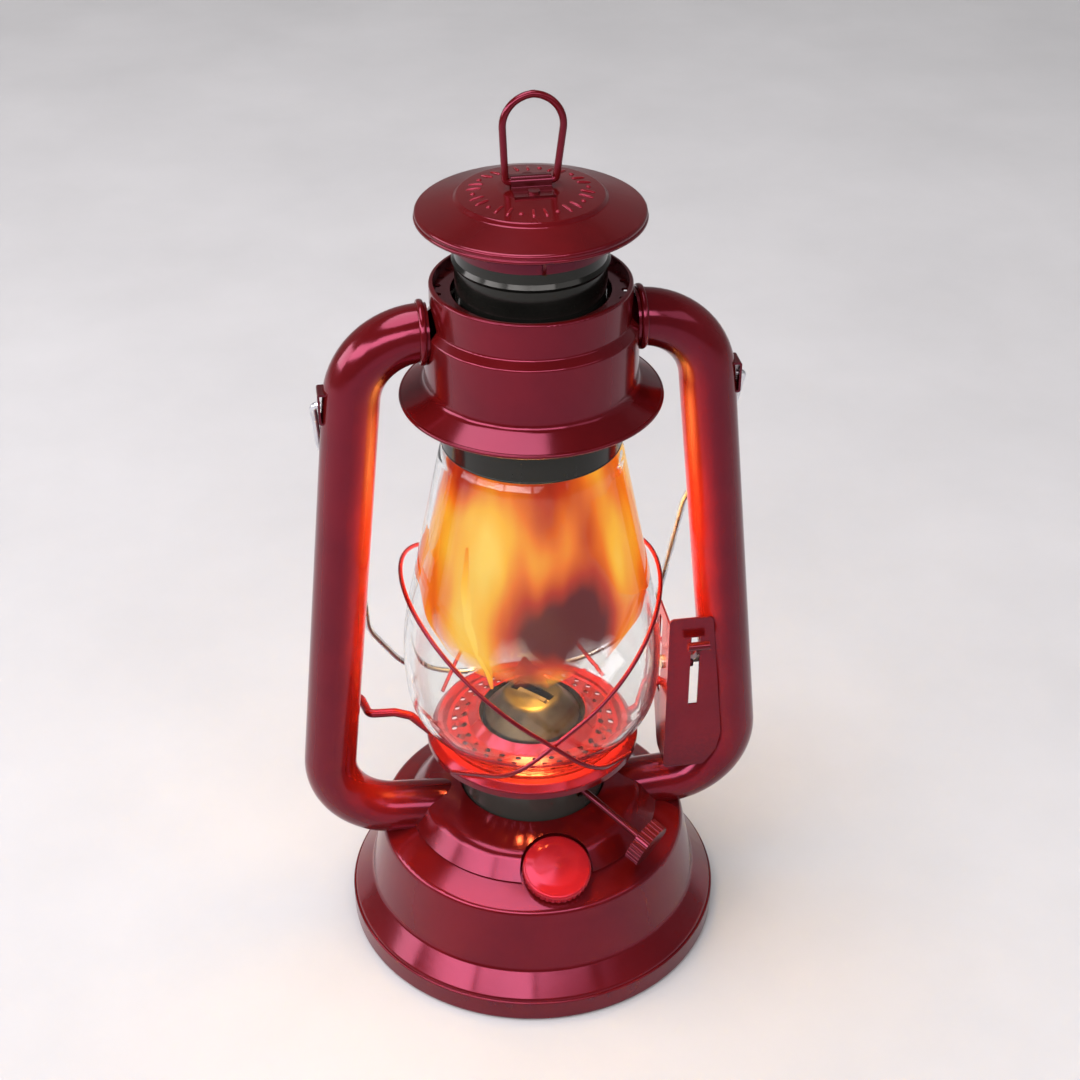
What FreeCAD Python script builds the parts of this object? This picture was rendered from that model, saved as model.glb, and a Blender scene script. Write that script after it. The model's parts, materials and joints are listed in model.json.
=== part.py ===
import FreeCAD, Part
import math
import os
import re

import Sketcher

# A hurricane lantern in millimetres: +Z up, the middle of its foot at the origin, the side tubes
# along X and the filler cap towards -Y. Every size below is a cell of the spreadsheet.
DIMENSIONS = {
    # sheet metal and fits
    "sheet_metal": 0.6,
    "play": 0.1,
    # tank: a rolled foot, a waist, a slightly conical wall and a sloping shoulder
    "foot_radius": 57.3,
    "foot_height": 6.8,
    "foot_ring_inside": 53.2,
    "floor_height": 4.6,
    "waist_radius": 50.8,
    "waist_height": 14.6,
    "edge_radius": 46.8,
    "edge_height": 33.6,
    "top_radius": 23.5,
    "top_height": 43.8,
    "mouth_radius": 12.6,
    # filler neck and its cap, square to the shoulder
    "filler_side": 1.5,
    "filler_reach": 35.3,
    "neck_radius": 7.6,
    "neck_height": 3.6,
    "cap_radius": 10.2,
    "cap_height": 5.0,
    # dome that joins the tubes to the burner, and the black ring on top of it
    "dome_radius": 38.4,
    "dome_shoulder_radius": 33.4,
    "dome_shoulder_height": 44.4,
    "dome_top_height": 47.8,
    "chamber_radius": 22.0,
    "chamber_top": 68.4,
    # side tubes
    "tube_radius": 7.8,
    "tube_wall": 0.7,
    "tube_bend": 20.0,
    "tube_upper_height": 202.4,
    "tube_upper_start": 27.6,
    "tube_upper_corner": 46.65,
    "tube_lower_height": 41.6,
    "tube_lower_corner": 63.7,
    "tube_lower_end": 22.9,
    "tube_lower_droop": 2.6,
    # hood
    "hood_flange_radius": 35.7,
    "hood_flange_height": 182.7,
    "hood_radius": 28.8,
    "hood_neck_height": 187.0,
    "hood_step_height": 203.4,
    "hood_step": 2.0,
    "hood_top_height": 215.5,
    "hood_floor_height": 189.2,
    "inlet_height": 212.4,
    # chimney that slides in the hood
    "skirt_radius": 24.9,
    "skirt_bottom": 168.0,
    "skirt_top": 190.0,
    "chimney_radius": 20.0,
    "chimney_bead_height": 222.0,
    "chimney_top": 231.8,
    "spring_radius": 22.6,
    "spring_wire": 0.45,
    "spring_turns": 3,
    # cap, strap and hanging ring
    "lid_radius": 30.0,
    "lid_height": 235.4,
    "lid_disc_radius": 19.0,
    "lid_disc_height": 239.4,
    "lid_top_height": 241.0,
    "strap_length": 15.0,
    "strap_width": 10.4,
    "ring_wire": 0.95,
    "ring_radius": 8.45,
    "ring_leg": 6.5,
    "ring_top": 265.3,
    # bail and its ears
    "hinge_height": 183.0,
    "hinge_reach": 56.75,
    "bail_wire": 0.95,
    "bail_lean": 20.0,
    "bail_drop": 138.0,
    # glass globe
    "globe_foot_radius": 27.8,
    "globe_neck_radius": 24.0,
    "globe_top": 176.0,
    "globe_wall": 1.8,
    # perforated globe plate and its wires
    "plate_hole_radius": 16.6,
    "plate_seat_height": 68.8,
    "plate_rim_radius": 32.0,
    "guard_wire": 0.65,
    "guard_foot_x": 26.5,
    "guard_foot_y": 19.0,
    "guard_tilt": 41.7,
    "guard_half_width": 40.0,
    "guard_reach": 84.5,
    "guard_lap": 1.4,
    "arm_wire": 1.3,
    "arm_offset": 4.1,
    "arm_rise_x": 43.5,
    # lever that lifts the globe, in a bracket on the right tube
    "lever_height": 86.0,
    "lever_plane": 48.0,
    "lever_pin": 1.15,
    "lever_front": 16.0,
    "lever_back": 8.5,
    "lever_front_angle": 50.0,
    "lever_back_angle": 36.0,
    "lever_thickness": 1.6,
    "crossbar_radius": 1.0,
    "bracket_side": 39.8,
    "bracket_front": 6.9,
    "bracket_back": 9.0,
    "bracket_bottom": 50.0,
    "bracket_top": 106.0,
    # burner and wick
    "burner_radius": 15.0,
    "gallery_radius": 14.6,
    "gallery_bottom": 50.6,
    "gallery_top": 69.4,
    "cone_top": 80.6,
    "wick_width": 10.0,
    "wick_thickness": 1.6,
    "wick_tube_top": 77.4,
    "wick_top": 78.6,
    "wick_azimuth": -45.8,
    "shaft_radius": 1.1,
    "shaft_droop": 20.0,
    "shaft_height": 62.6,
    "shaft_offset": 3.9,
    "shaft_reach": 45.6,
    "knob_radius": 7.0,
    "knob_width": 4.4,
}

doc = FreeCAD.newDocument("Lantern")
sheet = doc.addObject("Spreadsheet::Sheet", "Dims")
for row, (alias, number) in enumerate(DIMENSIONS.items(), 1):
    sheet.set(f"A{row}", alias)
    sheet.set(f"B{row}", str(number))
    sheet.setAlias(f"B{row}", alias)
doc.recompute()

X, Y, Z = FreeCAD.Vector(1, 0, 0), FreeCAD.Vector(0, 1, 0), FreeCAD.Vector(0, 0, 1)
subparts = []


def bound(text):
    """An expression in dimension names, with each name pointing at the sheet."""
    return re.sub(r"[a-z_]+", lambda m: "Dims." + m[0] if m[0] in DIMENSIONS else m[0], str(text))


def value(text):
    return float(sheet.evalExpression(bound(text)))


def keep(obj, name, placement=None):
    """Marks an object as one of the lantern's sub-parts, named after its file."""
    obj.Label = name
    if placement:
        obj.Placement = placement
    subparts.append(obj)
    return obj


# ---------------------------------------------------------------- sketches


def new_body(name):
    return doc.addObject("PartDesign::Body", name + "_body")


def sketch_on(body, plane, offset=None):
    sketch = body.newObject("Sketcher::SketchObject", body.Name + "_sketch")
    support = [f for f in body.Origin.OriginFeatures if f.Role == plane + "_Plane"][0]
    sketch.AttachmentSupport = [(support, "")]
    sketch.MapMode = "FlatFace"
    if offset:
        sketch.AttachmentOffset = offset
    return sketch


def bind(sketch, kind, *where, to):
    """Adds a constraint whose value follows the sheet."""
    index = sketch.addConstraint(Sketcher.Constraint(kind, *where, value(to)))
    sketch.setExpression(f"Constraints[{index}]", bound(to))


def corner_round(before, corner, after, radius):
    """The tangent points, centre and angles of the arc that rounds a corner."""
    a, b = (before - corner).normalize(), (after - corner).normalize()
    half = a.getAngle(b) / 2
    reach = radius / math.tan(half)
    start, end = corner + a * reach, corner + b * reach
    centre = corner + (a + b).normalize() * (radius / math.sin(half))
    return start, end, centre


def outline(sketch, corners, closed=True):
    """Draws straight runs between corners (x, y) or (x, y, bend radius), all bound to the sheet."""
    points = [FreeCAD.Vector(value(c[0]), value(c[1]), 0) for c in corners]
    count = len(corners)
    ends = []
    arcs = {}
    for i, corner in enumerate(corners):
        if len(corner) < 3:
            ends.append((points[i], points[i]))
            continue
        before, after = points[i - 1], points[(i + 1) % count]
        start, end, centre = corner_round(FreeCAD.Vector(before), FreeCAD.Vector(points[i]),
                                          FreeCAD.Vector(after), value(corner[2]))
        ends.append((start, end))
        arcs[i] = (start, end, centre)
    runs = count if closed else count - 1
    lines = [
        sketch.addGeometry(Part.LineSegment(ends[i][1], ends[(i + 1) % count][0])) for i in range(runs)
    ]
    for i, corner in enumerate(corners):
        into = lines[i - 1] if i or closed else None
        out = lines[i] if i < runs else None
        if i in arcs:
            add_arc(sketch, corner, points[i], arcs[i], into, out)
            continue
        if into is not None and out is not None:
            sketch.addConstraint(Sketcher.Constraint("Coincident", into, 2, out, 1))
        place(sketch, corner, (out, 1) if out is not None else (into, 2))


def place(sketch, corner, vertex):
    bind(sketch, "DistanceX", -1, 1, *vertex, to=corner[0])
    bind(sketch, "DistanceY", -1, 1, *vertex, to=corner[1])


def add_arc(sketch, corner, point, ends, into, out):
    """An arc tangent to two runs whose lines meet at a construction point bound to the sheet."""
    start, end, centre = ends
    first, last = start - centre, end - centre
    turn = first.cross(last).z
    angles = [math.atan2(v.y, v.x) for v in ((first, last) if turn > 0 else (last, first))]
    circle = Part.Circle(centre, Z, first.Length)
    arc = sketch.addGeometry(Part.ArcOfCircle(circle, *angles))
    head, tail = (1, 2) if turn > 0 else (2, 1)
    sketch.addConstraint(Sketcher.Constraint("Tangent", into, 2, arc, head))
    sketch.addConstraint(Sketcher.Constraint("Tangent", arc, tail, out, 1))
    mark = sketch.addGeometry(Part.Point(point), True)
    sketch.addConstraint(Sketcher.Constraint("PointOnObject", mark, 1, into))
    sketch.addConstraint(Sketcher.Constraint("PointOnObject", mark, 1, out))
    place(sketch, corner, (mark, 1))
    bind(sketch, "Radius", arc, to=corner[2])


def circle(sketch, x, y, radius):
    disc = Part.Circle(FreeCAD.Vector(value(x), value(y), 0), Z, value(radius))
    ring = sketch.addGeometry(disc)
    place(sketch, (x, y), (ring, 3))
    bind(sketch, "Radius", ring, to=radius)


def skin(corners, wall="sheet_metal"):
    """Closes an open path into a sheet's section: the path itself and its copy one wall to the left."""
    points = [FreeCAD.Vector(value(c[0]), value(c[1]), 0) for c in corners]
    normals = []
    for a, b in zip(points, points[1:]):
        run = (b - a).normalize()
        normals.append(FreeCAD.Vector(-run.y, run.x, 0))
    inner = []
    for i, corner in enumerate(corners):
        before, after = normals[max(i - 1, 0)], normals[min(i, len(normals) - 1)]
        shift = (before + after) / (1 + before.dot(after))
        if points[i].x == 0:
            shift = FreeCAD.Vector(0, 1 / after.y, 0)  # a point on the axis stays on it
        copy = [f"{corner[k]} + {wall} * ({s:.5f})" for k, s in ((0, shift.x), (1, shift.y))]
        if len(corner) > 2:
            left_turn = before.cross(after).z > 0
            bend = f"{corner[2]} {'-' if left_turn else '+'} {wall}"
            if value(bend) > 0.1:
                copy.append(bend)
        inner.append(tuple(copy))
    return corners + inner[::-1]


# ---------------------------------------------------------------- features


def revolve(name, corners):
    """A body turned about Z from a closed outline in the XZ plane."""
    body = new_body(name)
    sketch = sketch_on(body, "XZ")
    outline(sketch, corners)
    turn = body.newObject("PartDesign::Revolution", name + "_turn")
    turn.Profile = sketch
    turn.ReferenceAxis = (sketch, ["V_Axis"])
    turn.Angle = 360
    doc.recompute()
    return body


def extrude(body, sketch, length, both_ways=False, backwards=False):
    pad = body.newObject("PartDesign::Pad", body.Name + "_pad")
    pad.Profile = sketch
    pad.setExpression("Length", bound(length))
    pad.SideType = "Symmetric" if both_ways else "One side"
    pad.Reversed = backwards
    doc.recompute()
    return pad


def cut(body, sketch, length, both_ways=False, backwards=False):
    """A pocket that must take material away."""
    before = body.Shape.Volume
    pocket = body.newObject("PartDesign::Pocket", body.Name + "_pocket")
    pocket.Profile = sketch
    pocket.setExpression("Length", bound(length))
    pocket.SideType = "Symmetric" if both_ways else "One side"
    pocket.Reversed = backwards
    doc.recompute()
    if body.Shape.Volume > before - 0.01:
        raise RuntimeError(f"{pocket.Name} cuts nothing")
    return pocket


def around(body, feature, count):
    """Repeats a feature evenly about the Z axis."""
    pattern = body.newObject("PartDesign::PolarPattern", body.Name + "_pattern")
    pattern.Originals = [feature]
    axis = [f for f in body.Origin.OriginFeatures if f.Role == "Z_Axis"][0]
    pattern.Axis = (axis, [""])
    pattern.Angle = 360
    pattern.Occurrences = count
    body.Tip = pattern
    doc.recompute()
    return pattern


def moved(x=0, y=0, z=0, axis=Z, angle=0):
    shift = FreeCAD.Vector(*(value(v) for v in (x, y, z)))
    return FreeCAD.Placement(shift, FreeCAD.Rotation(axis, value(angle)))


def pipe(name, corners, radius, bore=None):
    """A rod or tube along a path in the XZ plane whose first run lies along X."""
    body = new_body(name)
    path = sketch_on(body, "XZ")
    outline(path, corners, closed=False)
    section = sketch_on(body, "YZ", moved(z=corners[0][0]))
    section.setExpression("AttachmentOffset.Base.z", bound(corners[0][0]))
    circle(section, "0", corners[0][1], radius)
    if bore:
        circle(section, "0", corners[0][1], bore)
    sweep = body.newObject("PartDesign::AdditivePipe", name + "_sweep")
    sweep.Profile = section
    sweep.Spine = (path, [])
    doc.recompute()
    return body


def bent_rod(name, points, radius, bend):
    """A round rod along runs in space, each corner a tangent arc. Neither a sketch nor a primitive
    holds a path that leaves its plane."""
    edges = []
    here = points[0]
    for before, corner, after in zip(points, points[1:], points[2:]):
        start, end, centre = corner_round(FreeCAD.Vector(before), FreeCAD.Vector(corner),
                                          FreeCAD.Vector(after), bend)
        middle = centre + (corner - centre).normalize() * bend
        edges.append(Part.LineSegment(here, start).toShape())
        edges.append(Part.Arc(start, middle, end).toShape())
        here = end
    edges.append(Part.LineSegment(here, points[-1]).toShape())
    spine = Part.Wire(edges)
    heading = (points[1] - points[0]).normalize()
    section = Part.Wire(Part.makeCircle(radius, points[0], heading))
    rod = doc.addObject("Part::Feature", name)
    rod.Shape = spine.makePipeShell([section], True, False)
    return rod


def point(x, y, z):
    return FreeCAD.Vector(value(x), value(y), value(z))


def cylinder(name, radius, height, placement):
    rod = doc.addObject("Part::Cylinder", name)
    rod.setExpression("Radius", bound(radius))
    rod.setExpression("Height", bound(height))
    rod.Placement = placement
    return rod


def box(name, length, width, height, placement):
    block = doc.addObject("Part::Box", name)
    for side, size in (("Length", length), ("Width", width), ("Height", height)):
        block.setExpression(side, bound(size))
    block.Placement = placement
    return block


def fuse(name, shapes):
    joined = doc.addObject("Part::MultiFuse", name)
    joined.Shapes = shapes
    doc.recompute()
    return joined


# ---------------------------------------------------------------- tank

SHOULDER_RISE = "(top_height - edge_height) / (edge_radius - top_radius)"
SHOULDER_TILT = f"atan({SHOULDER_RISE})"


def shoulder_height(radius):
    """The height of the tank's sloping shoulder at a radius."""
    return f"(edge_height + (edge_radius - {radius}) * {SHOULDER_RISE})"


def filler_frame():
    """On the shoulder at the front, with its own Z square to the slope."""
    return moved("filler_side", "-filler_reach", shoulder_height("filler_reach"), X, SHOULDER_TILT)


def tank_shell():
    body = revolve("tank_shell", skin([
        ("foot_radius - sheet_metal", "1.4"),
        ("foot_radius - sheet_metal", "foot_height + 0.8", "2"),
        ("waist_radius", "waist_height", "3"),
        ("edge_radius", "edge_height", "2.4"),
        ("top_radius", "top_height", "1.5"),
        ("mouth_radius", "top_height"),
    ]))
    hole = sketch_on(body, "XY", filler_frame())
    circle(hole, "0", "0", "neck_radius")
    cut(body, hole, "4", both_ways=True)
    return keep(body, "tank_shell")


def tank_bottom():
    """The floor, folded round the shell's lower edge into the ring that the lantern stands on."""
    return keep(revolve("tank_bottom", skin([
        ("0", "floor_height"),
        ("foot_ring_inside - 1", "floor_height", "1"),
        ("foot_ring_inside", "0", "1.2"),
        ("foot_radius", "0", "1.2"),
        ("foot_radius", "foot_height"),
    ])), "tank_bottom")


def filler_neck():
    body = revolve("filler_neck", [
        ("neck_radius - 0.9", "-1.4"),
        ("neck_radius", "-1.4"),
        ("neck_radius", "neck_height"),
        ("neck_radius - 0.9", "neck_height"),
    ])
    return keep(body, "filler_neck", filler_frame())


def cap_gasket():
    body = revolve("cap_gasket", [
        ("neck_radius - 1.6", "neck_height + 0.05"),
        ("neck_radius", "neck_height + 0.05"),
        ("neck_radius", "neck_height + 0.5"),
        ("neck_radius - 1.6", "neck_height + 0.5"),
    ])
    return keep(body, "cap_gasket", filler_frame())


def fuel_cap():
    """A domed screw cap; its bore runs on the neck and its roof sits just over the gasket."""
    body = revolve("fuel_cap", [
        ("neck_radius + play", "1"),
        ("cap_radius", "1"),
        ("cap_radius", "cap_height - 1.1", "1.2"),
        ("cap_radius - 3.4", "cap_height - 0.3", "6"),
        ("0", "cap_height"),
        ("0", "neck_height + 0.6"),
        ("neck_radius + play", "neck_height + 0.6"),
    ])
    notch = sketch_on(body, "XY")
    circle(notch, "cap_radius + 0.35", "0", "0.6")
    around(body, cut(body, notch, "cap_height - 1.8", backwards=True), 36)
    return keep(body, "fuel_cap", filler_frame())


def tank_collar():
    return keep(revolve("tank_collar", [
        ("mouth_radius", "top_height"),
        ("burner_radius + 0.4", "top_height"),
        ("burner_radius + 0.4", "top_height + 4.8"),
        ("mouth_radius", "top_height + 4.8"),
    ]), "tank_collar")


# ---------------------------------------------------------------- air path


def air_chamber_dome():
    body = revolve("air_chamber_dome", skin([
        ("dome_radius", f"{shoulder_height('dome_radius')} + 0.75"),
        ("dome_shoulder_radius", "dome_shoulder_height", "6"),
        ("chamber_radius + 0.6", "dome_top_height"),
    ]))
    cut_out = sketch_on(body, "XY", filler_frame())
    circle(cut_out, "0", "0", "cap_radius + 0.7")
    cut(body, cut_out, "24", both_ways=True)
    ports = sketch_on(body, "YZ")
    circle(ports, "0", "tube_lower_height - 1.4", "tube_radius - 2.2")
    cut(body, ports, "2 * dome_radius", both_ways=True)
    return keep(body, "air_chamber_dome")


def shaft_bearing(radius):
    """The bearing, about Z, at which the wick shaft crosses a round wall."""
    aside = math.asin(value(f"shaft_offset / {radius}"))
    return value("wick_azimuth") - math.degrees(aside)


def burner_chamber():
    body = revolve("burner_chamber", [
        ("chamber_radius - sheet_metal", "top_height"),
        ("chamber_radius", "top_height"),
        ("chamber_radius", "chamber_top"),
        ("chamber_radius - sheet_metal", "chamber_top"),
    ])
    facing = FreeCAD.Placement(
        FreeCAD.Vector(), FreeCAD.Rotation(FreeCAD.Vector(1, 1, 1), 120))
    turned = moved(angle=shaft_bearing("chamber_radius")).multiply(facing)
    port = sketch_on(body, "XY", turned)
    circle(port, "0", "shaft_height - chamber_radius * tan(shaft_droop)", "2.4")
    cut(body, port, "chamber_radius + 1", backwards=True)
    return keep(body, "burner_chamber")


def side_tube(name, side):
    """A bent tube from the hood down to the dome; the left one is the right one turned about Z."""
    body = pipe(name, [
        ("tube_upper_start", "tube_upper_height"),
        ("tube_upper_corner", "tube_upper_height", "tube_bend"),
        ("tube_lower_corner", "tube_lower_height", "tube_bend"),
        ("tube_lower_end", "tube_lower_height - tube_lower_droop"),
    ], "tube_radius", "tube_radius - tube_wall")
    under = sketch_on(body, "XZ")
    outline(under, [
        ("0", "0"),
        ("edge_radius + 1", "0"),
        ("edge_radius + 1", "edge_height"),
        ("dome_radius", f"{shoulder_height('dome_radius')} + 0.02"),
        ("dome_radius", f"{shoulder_height('dome_radius')} + 0.77"),
        ("dome_shoulder_radius", "dome_shoulder_height + 0.02", "6"),
        ("chamber_radius + 0.6", "dome_top_height + 0.02"),
        ("chamber_radius + 0.6", "dome_top_height + 6"),
        ("0", "dome_top_height + 6"),
    ])
    groove = body.newObject("PartDesign::Groove", name + "_groove")
    groove.Profile = under
    groove.ReferenceAxis = (under, ["V_Axis"])
    groove.Angle = 360
    before = body.Shape.Volume
    doc.recompute()
    if body.Shape.Volume > before - 1:
        raise RuntimeError("the tube's saddle cut takes nothing away")
    return keep(body, name, moved(angle=str(0 if side > 0 else 180)))


# ---------------------------------------------------------------- hood


def hood_shell():
    body = revolve("hood_shell", skin([
        ("hood_flange_radius", "hood_flange_height"),
        ("hood_radius", "hood_neck_height", "2.5"),
        ("hood_radius", "hood_step_height", "0.9"),
        ("hood_radius - hood_step", "hood_step_height + 2.2", "0.9"),
        ("hood_radius - hood_step", "hood_top_height", "0.7"),
        ("hood_radius - hood_step - 1.1", "hood_top_height"),
    ]))
    ports = sketch_on(body, "YZ")
    circle(ports, "0", "tube_upper_height", "tube_radius")
    cut(body, ports, "4 * hood_radius", both_ways=True)
    return keep(body, "hood_shell")


def hood_floor():
    """The shelf inside the hood that the chimney's ledge rests on."""
    return keep(revolve("hood_floor", [
        ("skirt_radius + 0.3", "hood_floor_height - sheet_metal"),
        ("hood_radius - sheet_metal", "hood_floor_height - sheet_metal"),
        ("hood_radius - sheet_metal", "hood_floor_height"),
        ("skirt_radius + 0.3", "hood_floor_height"),
    ]), "hood_floor")


def air_inlet_ring():
    body = revolve("air_inlet_ring", [
        ("chimney_radius + 1.2", "inlet_height"),
        ("hood_radius - hood_step - sheet_metal", "inlet_height"),
        ("hood_radius - hood_step - sheet_metal", "inlet_height + sheet_metal"),
        ("chimney_radius + 1.2", "inlet_height + sheet_metal"),
    ])
    hole = sketch_on(body, "XY")
    circle(hole, "chimney_radius + 4.6", "0", "1")
    around(body, cut(body, hole, "inlet_height + 2", backwards=True), 30)
    return keep(body, "air_inlet_ring")


# ---------------------------------------------------------------- chimney


def chimney_skirt():
    """Slides over the glass's neck; its ledge is the stop that carries the chimney."""
    wall = "skirt_radius - sheet_metal"
    return keep(revolve("chimney_skirt", [
        (wall, "skirt_bottom"),
        ("skirt_radius", "skirt_bottom"),
        ("skirt_radius", "skirt_top - 0.75"),
        ("skirt_radius + 0.9", "skirt_top - 0.75"),
        ("skirt_radius + 0.9", "skirt_top"),
        ("chimney_radius + sheet_metal", "skirt_top"),
        ("chimney_radius + sheet_metal", "skirt_top + 3.6"),
        ("chimney_radius", "skirt_top + 3.6"),
        ("chimney_radius", "skirt_top - sheet_metal"),
        (wall, "skirt_top - sheet_metal"),
    ]), "chimney_skirt")


def chimney_tube():
    return keep(revolve("chimney_tube", skin([
        ("chimney_radius", "skirt_top - sheet_metal"),
        ("chimney_radius", "chimney_bead_height - 1.1"),
        ("chimney_radius + 0.7", "chimney_bead_height"),
        ("chimney_radius", "chimney_bead_height + 1.1"),
        ("chimney_radius", "chimney_top"),
    ])), "chimney_tube")


def chimney_spring():
    """A coil between the skirt's roof and the air inlet ring."""
    body = new_body("chimney_spring")
    section = sketch_on(body, "XZ")
    circle(section, "spring_radius", "skirt_top + spring_wire + 0.05", "spring_wire")
    coil = body.newObject("PartDesign::AdditiveHelix", "coil")
    coil.Profile = section
    coil.ReferenceAxis = (section, ["V_Axis"])
    coil.Mode = "height-turns-angle"
    coil.setExpression("Height", bound("inlet_height - skirt_top - 2 * spring_wire - 0.1"))
    coil.setExpression("Turns", bound("spring_turns"))
    doc.recompute()
    return keep(body, "chimney_spring")


def cap_bracket():
    """A ring on the chimney with three legs that carry the cap."""
    body = revolve("cap_bracket", [
        ("chimney_radius", "chimney_top - 5.6"),
        ("chimney_radius + sheet_metal", "chimney_top - 5.6"),
        ("chimney_radius + sheet_metal", "chimney_top - 2.6"),
        ("chimney_radius", "chimney_top - 2.6"),
    ])
    slope = "(lid_disc_height - 1 - lid_height) / (lid_radius - lid_disc_radius - 0.8)"
    under = f"lid_disc_height - 1.75 - {slope} *"
    leg = sketch_on(body, "XZ")
    outline(leg, [
        ("chimney_radius", "chimney_top - 5.6"),
        ("chimney_radius + 1", "chimney_top - 5.6"),
        ("chimney_radius + 4.4", "chimney_top + 2.4"),
        ("chimney_radius + 4.4", f"{under} 4.6"),
        ("chimney_radius", f"{under} 0.2"),
    ])
    around(body, extrude(body, leg, "1", both_ways=True), 3)
    return keep(body, "cap_bracket", moved(angle="30"))


def top_cap():
    body = revolve("top_cap", skin([
        ("lid_radius - 0.4", "lid_height - 2"),
        ("lid_radius", "lid_height", "0.9"),
        ("lid_disc_radius + 0.8", "lid_disc_height - 1", "0.7"),
        ("lid_disc_radius", "lid_disc_height", "0.7"),
        ("8.5", "lid_top_height", "2"),
        ("0", "lid_top_height"),
    ]))
    rivet_holes(body, "lid_top_height")
    return keep(body, "top_cap")


def rivet_holes(body, height):
    holes = sketch_on(body, "XY")
    for side in ("", "-"):
        circle(holes, "0", f"{side}(strap_length / 2 - 2.2)", "0.8")
    cut(body, holes, f"{height} + 3", backwards=True)


def ring_strap():
    """A saddle over the hanging ring's bar."""
    body = new_body("ring_strap")
    section = sketch_on(body, "YZ")
    arch = "(ring_wire + play + sheet_metal)"
    base = "lid_top_height + sheet_metal"
    outline(section, skin([
        ("strap_length / 2", base),
        (arch, base, "0.3"),
        (arch, f"{base} + 2.7", f"{arch} - 0.01"),
        (f"-{arch}", f"{base} + 2.7", f"{arch} - 0.01"),
        (f"-{arch}", base, "0.3"),
        ("-strap_length / 2", base),
    ]))
    extrude(body, section, "strap_width", both_ways=True)
    rivet_holes(body, base)
    return keep(body, "ring_strap")


def strap_rivets():
    pieces = []
    for label, side in (("front", "-"), ("rear", "")):
        y = f"{side}(strap_length / 2 - 2.2)"
        low = "lid_top_height - sheet_metal - 0.6"
        shank = cylinder(f"shank_{label}", "0.8", "2 * sheet_metal + 0.6", moved("0", y, low))
        head = cylinder(f"head_{label}", "1.5", "0.7", moved("0", y, "lid_top_height + sheet_metal"))
        pieces.append(fuse(f"rivet_{label}", [shank, head]))
    pair = doc.addObject("Part::Compound", "strap_rivets_pair")
    pair.Links = pieces
    doc.recompute()
    return keep(pair, "strap_rivets")


def ring_axis_height():
    return "lid_top_height + 2.7 - ring_wire - play"


def lift_ring():
    bar = ring_axis_height()
    half = [
        ("0.2", bar),
        ("ring_leg", bar, "1.2"),
        ("ring_radius + 1", "ring_top", "ring_radius - 0.25"),
    ]
    other = [(f"-{x[0]}", *x[1:]) for x in half[::-1]]
    return keep(pipe("lift_ring", half + other, "ring_wire"), "lift_ring")


# ---------------------------------------------------------------- bail


def bail():
    """The carrying wire, drawn hanging straight down and leant back on its hinge."""
    half = [
        ("hinge_reach", "0"),
        ("hinge_reach + 2.1", "0", "1.1"),
        ("hinge_reach + 1", "-16", "8"),
        ("hinge_reach - 8", "-56", "25"),
        ("hinge_reach - 10.7", "-108", "20"),
        ("hinge_reach - 25.7", "-bail_drop", "26"),
    ]
    other = [(f"-({x[0]})", *x[1:]) for x in half[::-1]]
    body = pipe("bail", half + other, "bail_wire")
    return keep(body, "bail", moved("0", "0", "hinge_height", X, "bail_lean"))


def bail_ear(name, side):
    """A sheet staple soldered to the tube's outer side; the bail's end turns in its hole."""
    body = new_body(name)
    plate = sketch_on(body, "XZ")
    face = "hinge_reach + 0.25 + sheet_metal"
    outline(plate, skin([
        ("hinge_reach - 0.7", "hinge_height - 4.6"),
        (face, "hinge_height - 4.6", "0.7"),
        (face, "hinge_height + 4.6", "0.7"),
        ("hinge_reach - 2", "hinge_height + 4.6"),
    ]))
    extrude(body, plate, "6", both_ways=True)
    hole = sketch_on(body, "YZ")
    circle(hole, "0", "hinge_height", "bail_wire + play")
    cut(body, hole, "2 * hinge_reach + 20", both_ways=True)
    return keep(body, name, moved(angle=str(0 if side > 0 else 180)))


# ---------------------------------------------------------------- globe carrier


def globe_plate():
    body = revolve("globe_plate", skin([
        ("plate_rim_radius", "plate_seat_height - 4"),
        ("plate_rim_radius", "plate_seat_height - 2", "0.8"),
        ("plate_rim_radius - 2", "plate_seat_height", "0.8"),
        ("plate_rim_radius - 7", "plate_seat_height", "1"),
        ("plate_hole_radius + 2.9", "plate_seat_height + 1.2", "1.5"),
        ("plate_hole_radius", "plate_seat_height + 4.4"),
    ]))
    for ring, count in (("plate_hole_radius + 4.3", 26), ("plate_hole_radius + 7.3", 32)):
        hole = sketch_on(body, "XY")
        circle(hole, ring, "0", "0.9")
        around(body, cut(body, hole, "plate_seat_height + 8", backwards=True), count)
    return keep(body, "globe_plate")


def globe():
    """Blown glass: a tight foot, a low belly that is widest near 100 mm, and a straight neck."""
    return keep(revolve("globe", skin([
        ("globe_foot_radius", "plate_seat_height"),
        ("globe_foot_radius", "plate_seat_height + 1.8", "2.6"),
        ("globe_foot_radius + 9", "plate_seat_height + 11.4", "17"),
        ("globe_foot_radius + 10.9", "100.5", "84"),
        ("globe_neck_radius + 1.6", "164.5", "6"),
        ("globe_neck_radius", "167.3", "2"),
        ("globe_neck_radius", "globe_top"),
    ], "globe_wall")), "globe")


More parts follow.
